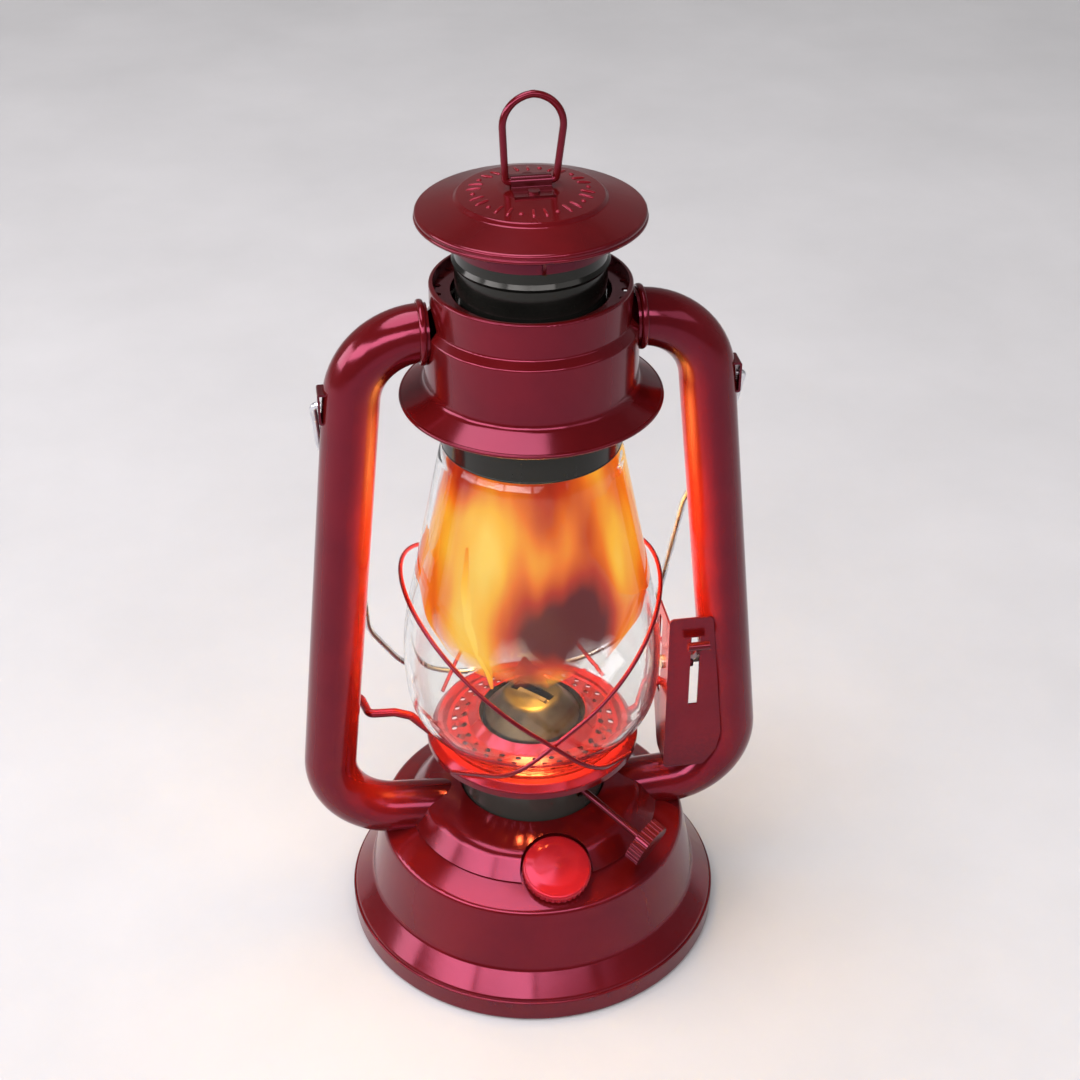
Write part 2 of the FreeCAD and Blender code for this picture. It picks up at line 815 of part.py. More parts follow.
def guard_wire(name, side, lap):
    """A loop round the glass in a tilted plane: drawn flat with x up the slope, then tilted."""
    body = new_body(name)
    half_width = f"(guard_half_width + {lap})"
    turn = f"({half_width} - 0.05)"
    path = sketch_on(body, "XY")
    half = [
        ("0", "guard_foot_y"),
        ("20", half_width, "22"),
        (f"guard_reach + {lap}", half_width, turn),
    ]
    other = [(x[0], f"-{x[1]}", *x[2:]) for x in half[::-1]]
    outline(path, half + other, closed=False)
    first = math.degrees(math.atan2(value(f"{half_width} - guard_foot_y"), 20))
    upright = FreeCAD.Placement(point("0", "guard_foot_y", "0"), FreeCAD.Rotation(Z, first))
    across = FreeCAD.Placement(FreeCAD.Vector(), FreeCAD.Rotation(FreeCAD.Vector(1, 1, 1), 120))
    section = sketch_on(body, "XY", upright.multiply(across))
    circle(section, "0", "0", "guard_wire")
    sweep = body.newObject("PartDesign::AdditivePipe", name + "_sweep")
    sweep.Profile = section
    sweep.Spine = (path, [])
    doc.recompute()
    tilt = moved("-guard_foot_x", "0", "plate_seat_height - 1.2", Y, "-guard_tilt")
    spin = moved(angle=str(0 if side > 0 else 180))
    return keep(body, name, spin.multiply(tilt))


def carrier_arm_left():
    """Runs from the plate's rim to behind the left tube, which steadies it."""
    level = "plate_seat_height + 5.4"
    # out of the rim, up the short riser, out level to the tube, back past it and along its rear
    points = [
        point("1.4 - plate_rim_radius", "2", "plate_seat_height - 2.4"),
        point("-36.6", "3", "plate_seat_height + 3.8"),
        point("-41.3", "3.4", level),
        point("-49", "3.9", level),
        point("-51", "12.5", level),
        point("-62", "13", level),
    ]
    return keep(bent_rod("carrier_arm_left_rod", points, value("arm_wire"), 2.2), "carrier_arm_left")


def carrier_arm_right():
    """Runs from the plate's rim through the bracket's slot to lie over the lever's crossbar."""
    over = "lever_height - lever_back * sin(lever_back_angle) + crossbar_radius + 0.5 + arm_wire"
    # out of the rim, up beside the tube to the bracket's window, then back over the crossbar
    points = [
        point("plate_rim_radius - 1.4", "0", "plate_seat_height - 2.4"),
        point("34.8", "1", "plate_seat_height - 1.3"),
        point("38", "arm_offset", "plate_seat_height + 6"),
        point("42.4", "arm_offset", "plate_seat_height + 7.6"),
        point("arm_rise_x", "arm_offset", over),
        point("arm_rise_x", "14", over),
    ]
    return keep(bent_rod("carrier_arm_right_rod", points, value("arm_wire"), 1.9), "carrier_arm_right")


# ---------------------------------------------------------------- lifting lever


def lift_bracket():
    """Folded sheet soldered to the right tube: a slotted front for the lever and a slotted side."""
    body = new_body("lift_bracket")
    front = sketch_on(body, "XZ", moved(z="bracket_front"))
    # the outer edge leans out with the bend at the tube's foot, then back in to its upright
    outline(front, [
        ("bracket_side", "bracket_bottom", "1.5"),
        ("52.4", "bracket_bottom", "1.5"),
        ("56.2", "bracket_bottom + 5.5"),
        ("57.4", "bracket_bottom + 12"),
        ("52.9", "bracket_top", "1.5"),
        ("bracket_side", "bracket_top", "1.5"),
    ])
    extrude(body, front, "sheet_metal", backwards=True)
    flange = sketch_on(body, "YZ", moved(z="bracket_side"))
    # a little shorter than the front at both ends, with its rear corner cut back below
    outline(flange, [
        ("-bracket_front", "bracket_bottom + 2"),
        ("bracket_back - 6", "bracket_bottom + 2", "3"),
        ("bracket_back", "bracket_bottom + 16", "3"),
        ("bracket_back", "bracket_top - 2", "3"),
        ("-bracket_front", "bracket_top - 2"),
    ])
    extrude(body, flange, "sheet_metal")
    slot = sketch_on(body, "XZ", moved(z="bracket_front - 2"))
    half = "1.35"
    outline(slot, [
        (f"lever_plane - {half}", "lever_height - 12"),
        (f"lever_plane + {half}", "lever_height - 12"),
        (f"lever_plane + {half}", "lever_height + 13"),
        (f"lever_plane - {half}", "lever_height + 13"),
    ])
    cut(body, slot, "4", backwards=True)
    window = sketch_on(body, "YZ", moved(z="bracket_side - 1"))
    outline(window, [
        ("arm_offset - 2", "lever_height - 14", "1.5"),
        ("arm_offset + 2", "lever_height - 14", "1.5"),
        ("arm_offset + 2", "lever_height + 14", "1.5"),
        ("arm_offset - 2", "lever_height + 14", "1.5"),
    ])
    cut(body, window, "3", backwards=True)
    hole = sketch_on(body, "YZ", moved(z="bracket_side - 1"))
    circle(hole, "0", "lever_height", "lever_pin")
    cut(body, hole, "3", backwards=True)
    return keep(body, "lift_bracket")


def lever_pin():
    along = FreeCAD.Rotation(Y, 90)
    shank = cylinder("pin_shank", "lever_pin", "51 - bracket_side",
                     FreeCAD.Placement(point("bracket_side", "0", "lever_height"), along))
    head = cylinder("pin_head", "lever_pin + 0.9", "0.7",
                    FreeCAD.Placement(point("bracket_side - 0.7", "0", "lever_height"), along))
    return keep(fuse("lever_pin_solid", [shank, head]), "lever_pin")


def lift_lever():
    """A rocker: pressing the finger bar down at the front raises the crossbar at the back."""
    along = FreeCAD.Rotation(Y, 90)
    inner_face = "lever_plane - lever_thickness / 2"

    def place_at(x, reach, angle):
        side = point(x, f"{reach} * cos({angle})", f"lever_height + {reach} * sin({angle})")
        return FreeCAD.Placement(side, along)

    def arm(name, reach, angle):
        turned = FreeCAD.Rotation(X, value(angle))
        corner = point(inner_face, "0", "lever_height") - turned.multVec(Z * 1.2)
        return box(name, "lever_thickness", reach, "2.4", FreeCAD.Placement(corner, turned))

    front, back = "(180 - lever_front_angle)", "(0 - lever_back_angle)"
    solid = fuse("lever_solid", [
        cylinder("lever_hub", "lever_pin + 1.25", "lever_thickness", place_at(inner_face, "0", "0")),
        arm("lever_front_arm", "lever_front", front),
        arm("lever_back_arm", "lever_back", back),
        cylinder("finger_bar", "1.3", "6.4", place_at("lever_plane - 3.2", "lever_front", front)),
        cylinder("crossbar", "crossbar_radius", "6.5", place_at("lever_plane - 5.7", "lever_back", back)),
    ])
    bore = cylinder("lever_bore", "lever_pin + 0.05", "12", place_at("lever_plane - 6", "0", "0"))
    lever = doc.addObject("Part::Cut", "lift_lever_cut")
    lever.Base = solid
    lever.Tool = bore
    doc.recompute()
    return keep(lever, "lift_lever")


# ---------------------------------------------------------------- burner and wick


def wick_frame(z="0"):
    """Turned so that its own X runs outwards above the wick shaft."""
    return moved("0", "0", z, Z, "wick_azimuth")


def slab(sketch, width, depth):
    """A rectangle about the sketch's origin."""
    outline(sketch, [
        (f"-({width}) / 2", f"-({depth}) / 2"),
        (f"({width}) / 2", f"-({depth}) / 2"),
        (f"({width}) / 2", f"({depth}) / 2"),
        (f"-({width}) / 2", f"({depth}) / 2"),
    ])


def burner_base():
    """Screws into the tank's collar and holds the wick tube in its slot."""
    body = revolve("burner_base", [
        ("0", "top_height - 1"),
        ("mouth_radius - 0.2", "top_height - 1"),
        ("mouth_radius - 0.2", "top_height + 4.9"),
        ("burner_radius + 0.2", "top_height + 4.9"),
        ("burner_radius + 0.2", "gallery_bottom"),
        ("0", "gallery_bottom"),
    ])
    slot = sketch_on(body, "XY")
    slab(slot, "wick_width + 2", "wick_thickness + 2")
    cut(body, slot, "gallery_bottom + 1", backwards=True)
    return keep(body, "burner_base", wick_frame())


def burner_gallery():
    """The pierced wall that carries the burner's cone."""
    body = revolve("burner_gallery", [
        ("gallery_radius - sheet_metal", "gallery_bottom"),
        ("gallery_radius", "gallery_bottom"),
        ("gallery_radius", "gallery_top"),
        ("gallery_radius - sheet_metal", "gallery_top"),
    ])
    window = sketch_on(body, "YZ")
    outline(window, [
        ("-3.3", "gallery_bottom + 2.4", "1.2"),
        ("3.3", "gallery_bottom + 2.4", "1.2"),
        ("3.3", "gallery_bottom + 11.6", "1.2"),
        ("-3.3", "gallery_bottom + 11.6", "1.2"),
    ])
    around(body, cut(body, window, "gallery_radius + 1", backwards=True), 8)
    return keep(body, "burner_gallery", moved(angle=shaft_bearing("gallery_radius")))


def burner_cone():
    body = revolve("burner_cone", skin([
        ("burner_radius", "gallery_top + 0.15"),
        ("burner_radius - 0.5", "gallery_top + 3", "1.5"),
        ("burner_radius - 6.4", "cone_top - 1.2", "3"),
        ("0", "cone_top"),
    ]))
    slot = sketch_on(body, "XY")
    slab(slot, "wick_width + 3.4", "wick_thickness + 3")
    cut(body, slot, "cone_top + 1", backwards=True)
    return keep(body, "burner_cone", wick_frame())


def wick_tube():
    body = new_body("wick_tube")
    wall = sketch_on(body, "XY", moved(z="top_height - 1"))
    slab(wall, "wick_width + 2", "wick_thickness + 2")
    slab(wall, "wick_width + 0.8", "wick_thickness + 0.8")
    extrude(body, wall, "wick_tube_top - top_height + 1")
    window = sketch_on(body, "XZ")
    outline(window, [
        ("-4.4", "shaft_height - 4.2"),
        ("4.4", "shaft_height - 4.2"),
        ("4.4", "shaft_height + 4.6"),
        ("-4.4", "shaft_height + 4.6"),
    ])
    cut(body, window, "4", backwards=True)
    return keep(body, "wick_tube", wick_frame())


def wick():
    body = new_body("wick")
    section = sketch_on(body, "XY", moved(z="floor_height + 8"))
    slab(section, "wick_width", "wick_thickness")
    extrude(body, section, "wick_top - floor_height - 8")
    return keep(body, "wick", wick_frame())


def shaft_frame():
    """Z runs outwards along the wick shaft, from the place beside the wick."""
    start = moved("0", "-shaft_offset", "shaft_height")
    lean = moved(axis=Y, angle="90 + shaft_droop")
    return wick_frame().multiply(start).multiply(lean)


def wick_shaft():
    body = new_body("wick_shaft")
    section = sketch_on(body, "XY", moved(z="-5.6"))
    circle(section, "0", "0", "shaft_radius")
    extrude(body, section, "shaft_reach + knob_width + 5.6 - 0.4")
    return keep(body, "wick_shaft", shaft_frame())


def toothed_wheel(name, radius, width, teeth, depth, bore, start):
    """A wheel on the shaft with round gullets between its teeth."""
    body = new_body(name)
    disc = sketch_on(body, "XY", moved(z=start))
    circle(disc, "0", "0", radius)
    circle(disc, "0", "0", bore)
    extrude(body, disc, width)
    gullet = sketch_on(body, "XY", moved(z=f"{start} - 1"))
    circle(gullet, f"{radius} + {depth} * 0.3", "0", depth)
    around(body, cut(body, gullet, f"{width} + 2", backwards=True), teeth)
    return body


def spur_wheels():
    reach = "(shaft_offset - wick_thickness / 2 - 0.1)"
    inner = toothed_wheel("spur_wheel_inner", reach, "0.9", 12, "0.5", "shaft_radius", "-3.4")
    outer = toothed_wheel("spur_wheel_outer", reach, "0.9", 12, "0.5", "shaft_radius", "2.2")
    pair = doc.addObject("Part::Compound", "spur_wheels_pair")
    pair.Links = [inner, outer]
    doc.recompute()
    return keep(pair, "spur_wheels", shaft_frame())


def wick_knob():
    body = toothed_wheel("wick_knob", "knob_radius", "knob_width", 28, "0.55", "shaft_radius",
                         "shaft_reach")
    return keep(body, "wick_knob", shaft_frame())


# ---------------------------------------------------------------- assembly


def build():
    tank_shell()
    tank_bottom()
    filler_neck()
    cap_gasket()
    fuel_cap()
    tank_collar()
    air_chamber_dome()
    burner_chamber()
    side_tube("tube_left", -1)
    side_tube("tube_right", 1)
    hood_shell()
    hood_floor()
    air_inlet_ring()
    chimney_skirt()
    chimney_tube()
    chimney_spring()
    cap_bracket()
    top_cap()
    ring_strap()
    strap_rivets()
    lift_ring()
    bail()
    bail_ear("bail_ear_left", -1)
    bail_ear("bail_ear_right", 1)
    globe_plate()
    globe()
    guard_wire("guard_wire_inner", 1, "0")
    guard_wire("guard_wire_outer", -1, "guard_lap")
    carrier_arm_left()
    carrier_arm_right()
    lift_bracket()
    lever_pin()
    lift_lever()
    burner_base()
    burner_gallery()
    burner_cone()
    wick_tube()
    wick()
    wick_shaft()
    spur_wheels()
    wick_knob()


def check_and_write():
    """Nothing is written unless every feature built and every sub-part is a valid solid."""
    doc.recompute()
    faults = [o.Name for o in doc.Objects if {"Invalid", "Error"} & set(o.State)]
    for obj in subparts:
        shape = obj.Shape
        if shape.isNull() or not shape.isValid() or not shape.Solids:
            faults.append(obj.Label)
    if faults:
        raise RuntimeError("failed: " + ", ".join(faults))
    os.makedirs("parts", exist_ok=True)
    for obj in subparts:
        obj.Shape.exportStep(f"parts/{obj.Label}.step")
        print(f"{obj.Label}: {obj.Shape.Volume:.1f} mm3, {len(obj.Shape.Solids)} solid(s)")


build()
check_and_write()
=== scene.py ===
"""Looks for the oil lantern: materials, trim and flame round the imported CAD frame, in metres."""
import json
import math

import bmesh
import bpy
from mathutils import Euler, Matrix, Vector, noise


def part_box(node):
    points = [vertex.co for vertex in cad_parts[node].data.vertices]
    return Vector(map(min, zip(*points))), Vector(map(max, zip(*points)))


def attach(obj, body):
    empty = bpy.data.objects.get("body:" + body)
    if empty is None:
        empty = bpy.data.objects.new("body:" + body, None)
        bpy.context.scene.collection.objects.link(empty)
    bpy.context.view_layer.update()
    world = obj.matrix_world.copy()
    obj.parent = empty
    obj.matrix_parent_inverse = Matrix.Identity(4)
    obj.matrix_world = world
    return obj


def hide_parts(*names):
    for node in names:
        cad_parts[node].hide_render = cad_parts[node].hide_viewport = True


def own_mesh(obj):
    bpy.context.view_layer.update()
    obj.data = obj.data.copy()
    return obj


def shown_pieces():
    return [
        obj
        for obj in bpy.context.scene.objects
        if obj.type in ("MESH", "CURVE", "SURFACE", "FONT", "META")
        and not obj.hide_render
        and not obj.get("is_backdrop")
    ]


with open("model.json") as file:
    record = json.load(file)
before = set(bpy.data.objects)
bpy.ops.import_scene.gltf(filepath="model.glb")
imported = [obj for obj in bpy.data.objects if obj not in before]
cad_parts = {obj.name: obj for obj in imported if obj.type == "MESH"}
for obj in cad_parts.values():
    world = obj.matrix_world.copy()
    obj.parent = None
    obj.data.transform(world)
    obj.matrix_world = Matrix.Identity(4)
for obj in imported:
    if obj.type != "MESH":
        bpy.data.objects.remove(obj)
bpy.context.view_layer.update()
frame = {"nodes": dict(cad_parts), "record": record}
NODES = frame["nodes"]
MM = 0.001

# ---------------------------------------------------------------- node helpers


def new_material(name):
    """A material with its node tree, its Principled shader and a helper that adds linked nodes."""
    made = bpy.data.materials.new(name)
    made.use_nodes = True
    tree = made.node_tree
    shader = tree.nodes["Principled BSDF"]

    def add(kind, links=None, **settings):
        node = tree.nodes.new(kind)
        for key, value in settings.items():
            if hasattr(node, key):
                setattr(node, key, value)
            else:
                node.inputs[key.replace("_", " ")].default_value = value
        for socket, source in (links or {}).items():
            tree.links.new(source, node.inputs[socket])
        return node

    return made, tree, shader, add


def stretched_place(add, scale):
    """Object coordinates scaled per axis, for textures that run along one direction."""
    place = add("ShaderNodeTexCoord")
    mapping = add("ShaderNodeMapping", {"Vector": place.outputs["Object"]})
    mapping.inputs["Scale"].default_value = scale
    return mapping.outputs["Vector"]


def ramp(add, factor, stops):
    """A colour ramp over a value, with stops of (position, colour)."""
    node = add("ShaderNodeValToRGB", {"Fac": factor})
    elements = node.color_ramp.elements
    while len(elements) < len(stops):
        elements.new(0.5)
    for element, (position, colour) in zip(elements, stops):
        element.position = position
        element.color = (*colour, 1) if len(colour) == 3 else colour
    return node.outputs["Color"]


def noise_value(add, vector, scale, detail=3.0, roughness=0.5):
    """Fractal noise between 0 and 1."""
    node = add("ShaderNodeTexNoise", {"Vector": vector}, Scale=scale, Detail=detail)
    node.inputs["Roughness"].default_value = roughness
    return node.outputs["Fac"]


def as_range(add, value, target, source=(0.0, 1.0), kind="LINEAR"):
    """A value mapped from one range to another."""
    node = add("ShaderNodeMapRange", {"Value": value}, interpolation_type=kind)
    for socket, limit in zip(("From Min", "From Max", "To Min", "To Max"), (*source, *target)):
        node.inputs[socket].default_value = limit
    return node.outputs["Result"]


def arithmetic(add, operation, first, second):
    """A sum or product of two values."""
    return add("ShaderNodeMath", {0: first, 1: second}, operation=operation).outputs[0]


def painted_over(add, mask, under, colour):
    """A flat colour laid over another where the mask is 1."""
    blend = add("ShaderNodeMix", {"Factor": mask, "A": under}, data_type="RGBA")
    blend.inputs["B"].default_value = (*colour, 1)
    return blend.outputs["Result"]


def bump(add, height, strength, distance):
    """A surface normal that follows a height."""
    node = add("ShaderNodeBump", {"Height": height})
    node.inputs["Strength"].default_value = strength
    node.inputs["Distance"].default_value = distance
    return node.outputs["Normal"]


# ---------------------------------------------------------------- materials


def enamel(name, deep, bright, worn, tint=(1.0, 0.20, 0.36), gloss=1.72):
    """Fired gloss enamel: slow colour drift, orange-peel, smudges and worn edges."""
    made, tree, shader, add = new_material(name)
    place = stretched_place(add, (1, 1, 1))
    drift = noise_value(add, place, 45.0, 4.0)
    tone = ramp(add, drift, [(0.32, deep), (0.68, bright)])
    speck = noise_value(add, place, 900.0, 2.0)
    edge = add("ShaderNodeNewGeometry").outputs["Pointiness"]
    broken = add("ShaderNodeMath", {0: speck, 2: edge}, operation="MULTIPLY_ADD")
    broken.inputs[1].default_value = 0.06
    mask = ramp(add, broken.outputs[0], [(0.60, (0, 0, 0)), (0.65, (1, 1, 1))])
    tree.links.new(painted_over(add, mask, tone, worn), shader.inputs["Base Color"])
    smudge = noise_value(add, place, 60.0, 5.0, 0.65)
    tree.links.new(as_range(add, smudge, (0.10, 0.19)), shader.inputs["Roughness"])
    peel = noise_value(add, place, 420.0, 2.0)
    tree.links.new(bump(add, peel, 0.10, 0.00010), shader.inputs["Normal"])
    shader.inputs["IOR"].default_value = gloss
    shader.inputs["Specular Tint"].default_value = (*tint, 1)
    return made


def metal(name, dark, light, roughness, grain):
    """Bare or plated metal with drawn streaks and a mottled tone."""
    made, tree, shader, add = new_material(name)
    place = stretched_place(add, (1, 1, 1))
    mottle = noise_value(add, place, 160.0, 5.0, 0.6)
    tree.links.new(ramp(add, mottle, [(0.3, dark), (0.7, light)]), shader.inputs["Base Color"])
    streaks = noise_value(add, stretched_place(add, grain), 300.0, 3.0)
    tree.links.new(as_range(add, streaks, roughness), shader.inputs["Roughness"])
    tree.links.new(bump(add, streaks, 0.15, 0.00005), shader.inputs["Normal"])
    shader.inputs["Metallic"].default_value = 1.0
    return made


def clear_glass():
    """Pressed clear glass, a little wavy, with faint patchy soot."""
    made, tree, shader, add = new_material("clear_glass")
    place = stretched_place(add, (1, 1, 0.5))
    wave = noise_value(add, place, 38.0, 2.0)
    tree.links.new(bump(add, wave, 0.08, 0.0008), shader.inputs["Normal"])
    haze = noise_value(add, place, 120.0, 4.0)
    tree.links.new(as_range(add, haze, (0.0, 0.05)), shader.inputs["Roughness"])
    tint = ramp(add, haze, [(0.35, (0.97, 0.985, 0.98)), (0.8, (0.93, 0.95, 0.94))])
    tree.links.new(tint, shader.inputs["Base Color"])
    shader.inputs["Transmission Weight"].default_value = 1.0
    shader.inputs["IOR"].default_value = 1.32
    return made


def cotton():
    """A woven wick, charred at its burning end."""
    made, tree, shader, add = new_material("wick_cotton")
    place = stretched_place(add, (1, 1, 1))
    weft = add("ShaderNodeTexWave", {"Vector": place}, bands_direction="Z", Scale=260.0)
    warp = add("ShaderNodeTexWave", {"Vector": place}, bands_direction="DIAGONAL", Scale=200.0)
    weave = arithmetic(add, "MULTIPLY", weft.outputs["Fac"], warp.outputs["Fac"])
    height = add("ShaderNodeSeparateXYZ", {"Vector": place}).outputs["Z"]
    wick_low, wick_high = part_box("wick")
    charred = (wick_high.z - 4 * MM, wick_high.z - 0.5 * MM)
    burnt = as_range(add, height, (0.0, 1.0), charred)
    tone = ramp(add, weave, [(0.1, (0.45, 0.40, 0.31)), (0.7, (0.80, 0.75, 0.64))])
    char = (0.02, 0.013, 0.01)
    tree.links.new(painted_over(add, burnt, tone, char), shader.inputs["Base Color"])
    tree.links.new(bump(add, weave, 0.6, 0.0002), shader.inputs["Normal"])
    shader.inputs["Roughness"].default_value = 0.95
    return made


def cork():
    """Pressed cork grains."""
    made, tree, shader, add = new_material("cork_seal")
    place = stretched_place(add, (1, 1, 1))
    grains = add("ShaderNodeTexVoronoi", {"Vector": place}, Scale=900.0).outputs["Distance"]
    tone = ramp(add, grains, [(0.1, (0.18, 0.11, 0.06)), (0.6, (0.42, 0.29, 0.17))])
    tree.links.new(tone, shader.inputs["Base Color"])
    tree.links.new(bump(add, grains, 0.4, 0.0002), shader.inputs["Normal"])
    shader.inputs["Roughness"].default_value = 0.9
    return made


def pale_floor():
    """A smooth pale table top with a slight mottle."""
    made, tree, shader, add = new_material("pale_floor")
    place = stretched_place(add, (1, 1, 1))
    mottle = noise_value(add, place, 9.0, 6.0, 0.6)
    tone = ramp(add, mottle, [(0.3, (0.40, 0.40, 0.397)), (0.7, (0.44, 0.44, 0.437))])
    tree.links.new(tone, shader.inputs["Base Color"])
    shader.inputs["Roughness"].default_value = 0.7
    return made


def fire(name, strength, base, top, patches):
    """Glowing gas: rising streaks and hot or cool patches, frayed and clear at its base.

    The gas thickens between the heights base and top. Each patch is a centre, its reach, and
    how much hotter or cooler than its surroundings it is.
    """
    made, tree, shader, add = new_material(name)
    tree.nodes.remove(shader)
    plain = stretched_place(add, (1, 1, 1))
    streaks = noise_value(add, stretched_place(add, (1, 1, 0.20)), 75.0, 2.0, 0.45)
    folds = noise_value(add, stretched_place(add, (1, 1, 0.5)), 32.0, 1.5)
    heat = arithmetic(add, "ADD", streaks, folds)
    for centre, reach, change in patches:
        away = add("ShaderNodeVectorMath", {0: plain}, operation="DISTANCE")
        away.inputs[1].default_value = centre
        near = as_range(add, away.outputs["Value"], (change, 0.0), (reach * 0.15, reach),
                        kind="SMOOTHSTEP")
        heat = arithmetic(add, "ADD", heat, near)
    centred = add("ShaderNodeMath", {0: heat}, operation="SUBTRACT")
    centred.inputs[1].default_value = 0.45
    colour = ramp(add, centred.outputs[0], [
        (0.14, (0.11, 0.008, 0.010)),
        (0.34, (0.50, 0.035, 0.010)),
        (0.53, (0.86, 0.17, 0.012)),
        (0.74, (0.98, 0.46, 0.035)),
        (0.92, (1.0, 0.62, 0.10))])
    height = add("ShaderNodeSeparateXYZ", {"Vector": plain}).outputs["Z"]
    frayed = arithmetic(add, "ADD", streaks, as_range(add, height, (-0.75, 0.15), (base, top)))
    dense = ramp(add, frayed, [(0.0, (0, 0, 0)), (0.42, (1, 1, 1))])
    glow = add("ShaderNodeEmission", {"Color": colour})
    glow.inputs["Strength"].default_value = strength
    clear = add("ShaderNodeBsdfTransparent")
    mixed = add("ShaderNodeMixShader", {0: dense, 1: clear.outputs[0], 2: glow.outputs[0]})
    tree.links.new(mixed.outputs[0], tree.nodes["Material Output"].inputs["Surface"])
    return made


RED = enamel("red_enamel",
             (0.056, 0.0022, 0.0024), (0.086, 0.0032, 0.0035), (0.040, 0.004, 0.004))
# a brighter copy of the red enamel for the cap's raised marks: a painted highlight where the ribs
# catch the light
RAISED_MARKS_PAINTED_HIGHLIGHT = enamel("red_enamel_raised_painted_highlight",
                (0.11, 0.004, 0.006), (0.15, 0.006, 0.009), (0.07, 0.008, 0.008))
# a brighter copy of the red enamel for the fuel cap: painted firelight, a painted glow standing in
# for the flame's light on the cap
FUEL_CAP_PAINTED_FIRELIGHT = enamel("red_enamel_fuel_cap_painted_firelight",
                 (0.20, 0.006, 0.009), (0.28, 0.008, 0.012), (0.10, 0.01, 0.01))
BLACK = enamel("black_enamel",
               (0.0045, 0.0045, 0.0038), (0.010, 0.0100, 0.0085), (0.03, 0.028, 0.024),
               tint=(0.60, 0.60, 0.55), gloss=1.50)
ZINC = metal("zinc_wire", (0.48, 0.49, 0.52), (0.78, 0.79, 0.82), (0.20, 0.38), (1, 1, 0.08))
STEEL = metal("plated_steel", (0.36, 0.34, 0.31), (0.62, 0.59, 0.54), (0.25, 0.45), (0.1, 1, 1))
BRASS = metal("burner_brass", (0.42, 0.27, 0.09), (0.76, 0.54, 0.23), (0.24, 0.46), (1, 1, 0.12))
SOOT = metal("sooted_brass",
             (0.014, 0.012, 0.010), (0.060, 0.048, 0.032), (0.34, 0.58), (1, 1, 0.3))

BY_SLOT = {
    "red_enamel": RED,
    "black_enamel": BLACK,
    "zinc_wire": ZINC,
    "plated_steel": STEEL,
    "burner_brass": BRASS,
    "clear_glass": clear_glass(),
    "wick_cotton": cotton(),
    "cork_seal": cork(),
}
# the fuel cap takes the brighter enamel copy, its painted firelight
BY_NODE = {"burner_cone": SOOT, "burner_gallery": SOOT, "fuel_cap": FUEL_CAP_PAINTED_FIRELIGHT}

for entry in frame["record"]["subparts"]:
    materials = NODES[entry["node"]].data.materials
    materials.clear()
    materials.append(BY_NODE.get(entry["node"], BY_SLOT[entry["material_slot"]]))

# the fire's light passes through the glass
NODES["globe"].visible_shadow = False

# ---------------------------------------------------------------- mesh helpers


def finish_piece(name, mesh_data, material, body):
    """Turns a bmesh into a smooth object that rides on a body."""
    mesh = bpy.data.meshes.new(name)
    mesh_data.to_mesh(mesh)
    mesh_data.free()
    for face in mesh.polygons:
        face.use_smooth = True
    mesh.materials.append(material)
    made = bpy.data.objects.new(name, mesh)
    bpy.context.scene.collection.objects.link(made)
    if body:
        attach(made, body)
    else:
        made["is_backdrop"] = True
    return made


def rings_to_faces(mesh_data, rings, closed_ends=False):
    """Joins successive rings of vertices with quads."""
    for low, high in zip(rings, rings[1:]):
        count = len(low)
        for k in range(count):
            mesh_data.faces.new((low[k], low[(k + 1) % count], high[(k + 1) % count], high[k]))
    if closed_ends:
        mesh_data.faces.new(rings[0][::-1])
        mesh_data.faces.new(rings[-1])


def bead(name, radius, height, thick, body, material=RED, squeeze=1.0,
         placement=Matrix()):
    """A rolled edge: a round wire bent into a hoop about Z, then placed."""
    mesh_data = bmesh.new()
    around, across = 128, 12
    rings = []
    for i in range(around):
        turn = 2 * math.pi * i / around
        ring = []
        for j in range(across):
            side = 2 * math.pi * j / across
            reach = radius + thick * math.cos(side)
            ring.append(mesh_data.verts.new((
                reach * math.cos(turn), reach * math.sin(turn),
                height + thick * squeeze * math.sin(side))))
        rings.append(ring)
    rings_to_faces(mesh_data, rings + rings[:1])
    mesh_data.transform(placement)
    bmesh.ops.recalc_face_normals(mesh_data, faces=mesh_data.faces[:])
    finish_piece(name, mesh_data, material, body)


# ---------------------------------------------------------------- trim


def rolled_edges():
    """Wired rims on the cap, hood, foot, chimney skirt and burner chamber."""
    low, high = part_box("top_cap")
    bead("cap_rolled_rim", high.x - 0.4 * MM, low.z + 0.3 * MM, 0.65 * MM, "chimney")
    low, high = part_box("hood_shell")
    bead("hood_rolled_rim", high.x - 0.5 * MM, low.z + 0.25 * MM, 0.65 * MM, "frame")
    low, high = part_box("tank_bottom")
    bead("foot_seam", high.x - 0.52 * MM, high.z - 0.1 * MM, 0.5 * MM, "frame")
    low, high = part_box("chimney_skirt")
    skirt_rim_radius = 24.6 * MM
    bead("skirt_rolled_rim", skirt_rim_radius, low.z + 0.2 * MM, 0.42 * MM, "chimney",
         BLACK)
    low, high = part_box("burner_chamber")
    bead("burner_chamber_bead", high.x - 0.25 * MM, high.z - 0.6 * MM, 0.5 * MM,
         "frame", BLACK)


def port_collars():
    """The turned lips where the tubes enter the hood."""
    tube_radius, port_x, collar_radius, collar_thick = 7.8 * MM, 29.3 * MM, 8.25 * MM, 0.55 * MM
    tube_low, tube_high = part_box("tube_right")
    axis_height = tube_high.z - tube_radius
    for side, name in ((1, "port_collar_right"), (-1, "port_collar_left")):
        sideways = Matrix.Translation((side * port_x, 0, axis_height)) @ Euler(
            (0, math.radians(90), 0)).to_matrix().to_4x4()
        bead(name, collar_radius, 0, collar_thick, "frame", squeeze=1.7, placement=sideways)


